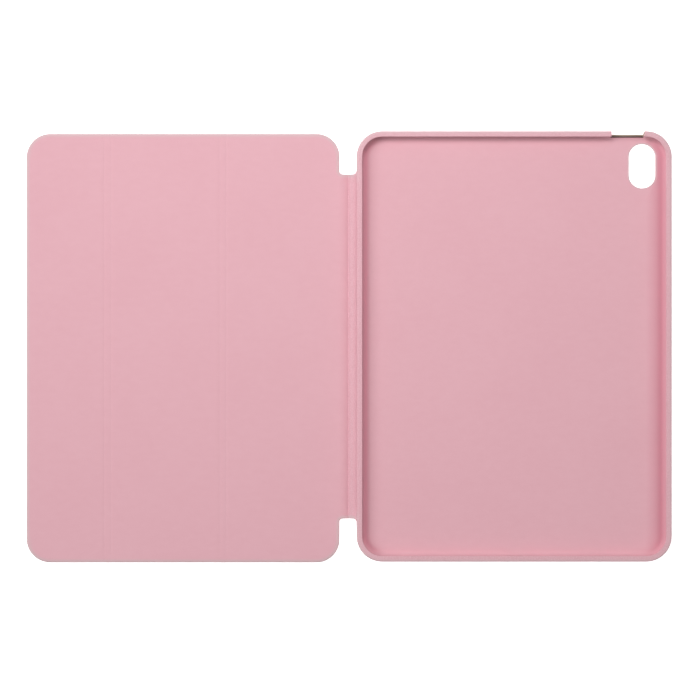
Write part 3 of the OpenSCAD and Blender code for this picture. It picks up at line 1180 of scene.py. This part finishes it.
def on_tray(obj, node):
    """Fixes a piece to the tray, in the place of one of its nodes."""
    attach(obj, "tray")
    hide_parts(node)


def turned_window_edge():
    """The skin where it is turned in through the camera window and down on to the lining."""
    soft = sizes().window_round / MM
    over, under = BED_TOP + 0.06, 0.05
    profile = [
        (WINDOW_SEAT, BED_TOP - 0.3), (WINDOW_SEAT, over - 0.08), (WINDOW_SEAT - 0.12, over),
        *arc((soft - WINDOW_COVER, over - soft), soft, 90, 180, 6),
        *arc((soft - WINDOW_COVER, under + soft), soft, 180, 270, 6),
        (WINDOW_SEAT - 0.05, under), (WINDOW_SEAT, under + 0.05), (WINDOW_SEAT, 0.5),
        (-0.02, SKIN_T), (-0.02, BED_BOTTOM),
    ]
    rings = [window_edge(grow, z) for grow, z in profile]
    count = len(rings[0])
    points = [[c * MM for c in spot] for ring in rings for spot in ring]
    faces = []
    for i in range(len(rings)):
        low, high = i * count, (i + 1) % len(rings) * count
        for k in range(count):
            j = (k + 1) % count
            faces.append((low + k, low + j, high + j, high + k))
    mesh = bpy.data.meshes.new("camera_window_edge")
    mesh.from_pydata(points, [], faces)
    # The turned edge takes the edge colour all over, partly wear and partly painted sheen.
    mark(mesh, "edge", [WEAR_AND_SHEEN] * len(points))
    cleaned(mesh, False)
    edge = to_object("camera_window_edge", mesh, leather())
    on_tray(edge, "tray_skin")
    return edge


class CASE_OT_tray_skin(bpy.types.Operator):
    """Makes the leather-look skin that wraps the tray's back, sides and rim"""

    bl_idname = "case.tray_skin"
    bl_label = "Tray skin"

    def execute(self, context):
        lip = sizes().lip_round / MM
        h = TRAY_H
        r = BACK_EDGE_R
        rim_arc = arc((-RIM_R, h - RIM_R), RIM_R, 90, 0, 8)[1:]
        # Edge colour on the rim's outer rounding, partly wear and partly a painted reflection of the
        # bright room on its grazing curve.
        rim_wear_and_sheen = (0.45, 0.6, 0.75, 0.85, 0.95, 1, 1, 1)
        rim = [
            ((BACK_REACH, SKIN_T), 0), ((r, SKIN_T), 0),
            *[((-x, z), 0) for x, z in arc((-r, r), r - SKIN_T, -90, 0, 6)[1:]],
            ((SKIN_T, RIM_FROM_Z), 0),
            *[((-x, z), 0) for x, z in arc((-RIM_R, RIM_FROM_Z), RIM_INNER_R, 0, 90, 4)[1:]],
            ((WALL_FACE, UNDER_RIM_Z), 0), ((WALL_FACE, h - LIP_T), 0), ((LIP_W, h - LIP_T), 0),
            # Painted highlight: the lip's inner edge takes a little of the edge colour to look more
            # lit.
            ((LIP_W, h - lip), 0.1),
            *[((-x, z), 0.15) for x, z in arc((-LIP_W + lip, h - lip), lip, 180, 90, 5)[1:]],
            ((RIM_R + 0.6, h), 0.15), ((RIM_R, h), 0.35),
            *[((-x, z), worn) for (x, z), worn in zip(rim_arc, rim_wear_and_sheen)],
            ((0.0, 5.6), 0.6), ((0.0, 4.6), 0.0), ((0.0, r), 0.0),
            *[((-x, z), 0) for x, z in arc((-r, r), r, 0, -90, 9)[1:]],
            ((BACK_REACH, 0.0), 0),
        ]
        mesh = swept("tray_skin_blank", [(x, z, worn, 0.0, 0.0) for (x, z), worn in rim])
        obj = open_up(mesh, "tray_outer_skin", leather(), 0.12)
        on_tray(obj, "tray_skin")
        turned_window_edge()
        return {"FINISHED"}


class CASE_OT_tray_lining(bpy.types.Operator):
    """Makes the microfibre that lines the tray's floor and walls"""

    bl_idname = "case.tray_lining"
    bl_label = "Tray lining"

    def execute(self, context):
        fillet = sizes().bed_fillet / MM
        top = TRAY_H - LIP_T + 0.02
        foot = WALL_FACE + fillet
        curve = arc((-foot, BED_TOP + fillet), fillet, -90, 0, 12)[1:]
        # How far in, then how much painted shade the lining gets there beside the long walls and
        # beside the far one
        floor = ((BED_REACH, 0.0, 0.0), (12.2, 0.0, 0.16), (10.0, 0.0, 0.32), (8.2, 0.0, 0.5),
                 (7.4, 0.25, 0.65), (6.6, 0.6, 0.8), (foot, 0.9, 0.9))
        plain = ((WALL_FACE, 6.2), (WALL_FACE, top), (WALL_BACK, top), (WALL_BACK, BED_BOTTOM),
                 (BED_REACH, BED_BOTTOM))
        section = [
            *[(inward, BED_TOP, 0.0, shade, far) for inward, shade, far in floor],
            # Painted shade fading up the fillet from its foot.
            *[(-x, z, 0.0, 1.0 - 0.09 * k, 0.0) for k, (x, z) in enumerate(curve)],
            *[(inward, z, 0.0, 0.0, 0.0) for inward, z in plain],
        ]
        mesh = swept("tray_lining_blank", section[::-1])
        obj = open_up(mesh, "tray_bed_lining", microfibre(), 0.1)
        on_tray(obj, "tray_lining")
        return {"FINISHED"}


class CASE_OT_stiffeners(bpy.types.Operator):
    """Gives the core, the boards, the magnets and the steel strip their finishes"""

    bl_idname = "case.stiffeners"
    bl_label = "Core, boards and metal"

    def execute(self, context):
        finishes = {
            "tray_core": moulded_core(),
            **{f"{body}_board": fibreboard() for body in
               ("spine_inner", "spine_outer", "panel_1", "panel_2", "panel_3")},
            "closing_magnet_bars": magnet_metal(), "wake_magnet": magnet_metal(),
            "steel_strip": strip_steel(),
        }
        for node, material in finishes.items():
            obj = frame["nodes"][node]
            for place in obj.material_slots:
                place.link = "OBJECT"
                place.material = material
            if not obj.material_slots:
                raise RuntimeError(f"{node} has no material slot")
        return {"FINISHED"}


# The studio, in metres: each lamp's name, place, size and power, and the camera's place and lens
LAMPS = (
    ("left softbox", (-1.7, 0.2, 1.7), 1.4, 28.8),
    ("right softbox", (1.7, 0.15, 1.7), 1.4, 14.4),
    ("overhead softbox", (-0.06, 0.35, 0.65), 0.3, 2.3),
)
WORLD_STRENGTH = 0.125
FLOOR_HALF, FLOOR_DROP = 3.0, 0.0002
EYE = (1.0 * MM, -2.11 * MM, 1.1)
LENS = 95.9


class CASE_OT_stage(bpy.types.Operator):
    """Sets the floor, the studio lights and the camera"""

    bl_idname = "case.stage"
    bl_label = "Stage"

    def execute(self, context):
        scene = context.scene
        scene.view_settings.view_transform = "Standard"
        mesh = bpy.data.meshes.new("floor")
        square = box_ring(-FLOOR_HALF, -FLOOR_HALF, FLOOR_HALF, FLOOR_HALF)
        mesh.from_pydata([(x, y, 0) for x, y in square], [], [(0, 1, 2, 3)])
        floor = to_object("floor", mesh, floor_paper())
        floor.location.z = -FLOOR_DROP

        world = bpy.data.worlds.new("studio")
        scene.world = world
        world.use_nodes = True
        backdrop = world.node_tree.nodes["Background"].inputs
        backdrop["Color"].default_value = (1, 1, 1, 1)
        backdrop["Strength"].default_value = WORLD_STRENGTH

        for name, place, size, power in LAMPS:
            lamp = bpy.data.lights.new(name, "AREA")
            lamp.shape, lamp.size, lamp.energy = "SQUARE", size, power
            obj = put(name, lamp)
            obj.location = place
            obj.rotation_euler = (-Vector(place)).to_track_quat("-Z", "Y").to_euler()

        data = bpy.data.cameras.new("camera")
        data.sensor_width, data.lens = 36.0, LENS
        data.clip_start, data.clip_end = 0.05, 20.0
        eye = put("camera", data)
        eye.location = EYE
        scene.camera = eye
        return {"FINISHED"}


class CASE_PT_panel(bpy.types.Panel):
    """Lists the case's sizes, colours and pieces"""

    bl_idname = "CASE_PT_panel"
    bl_label = "Tablet case"
    bl_space_type = "VIEW_3D"
    bl_region_type = "UI"
    bl_category = "Tablet case"

    def draw(self, context):
        for group in (context.scene.case_sizes, context.scene.case_colours):
            column = self.layout.column(align=True)
            for key in group.__annotations__:
                column.prop(group, key)
        for operator in OPERATORS:
            self.layout.operator(operator.bl_idname)


OPERATORS = (
    CASE_OT_stage,
    CASE_OT_stiffeners,
    CASE_OT_tray_skin,
    CASE_OT_tray_lining,
    CASE_OT_cover_lining,
    CASE_OT_cover_skin,
)
CLASSES = (CaseSizes, CaseColours, *OPERATORS, CASE_PT_panel)


def register():
    for cls in CLASSES:
        bpy.utils.register_class(cls)
    bpy.types.Scene.case_sizes = PointerProperty(type=CaseSizes)
    bpy.types.Scene.case_colours = PointerProperty(type=CaseColours)


def unregister():
    del bpy.types.Scene.case_sizes
    del bpy.types.Scene.case_colours
    for cls in reversed(CLASSES):
        bpy.utils.unregister_class(cls)


def main():
    register()
    for operator in OPERATORS:
        getattr(bpy.ops.case, operator.bl_idname.split(".")[1])()


if __name__ == "__main__":
    main()
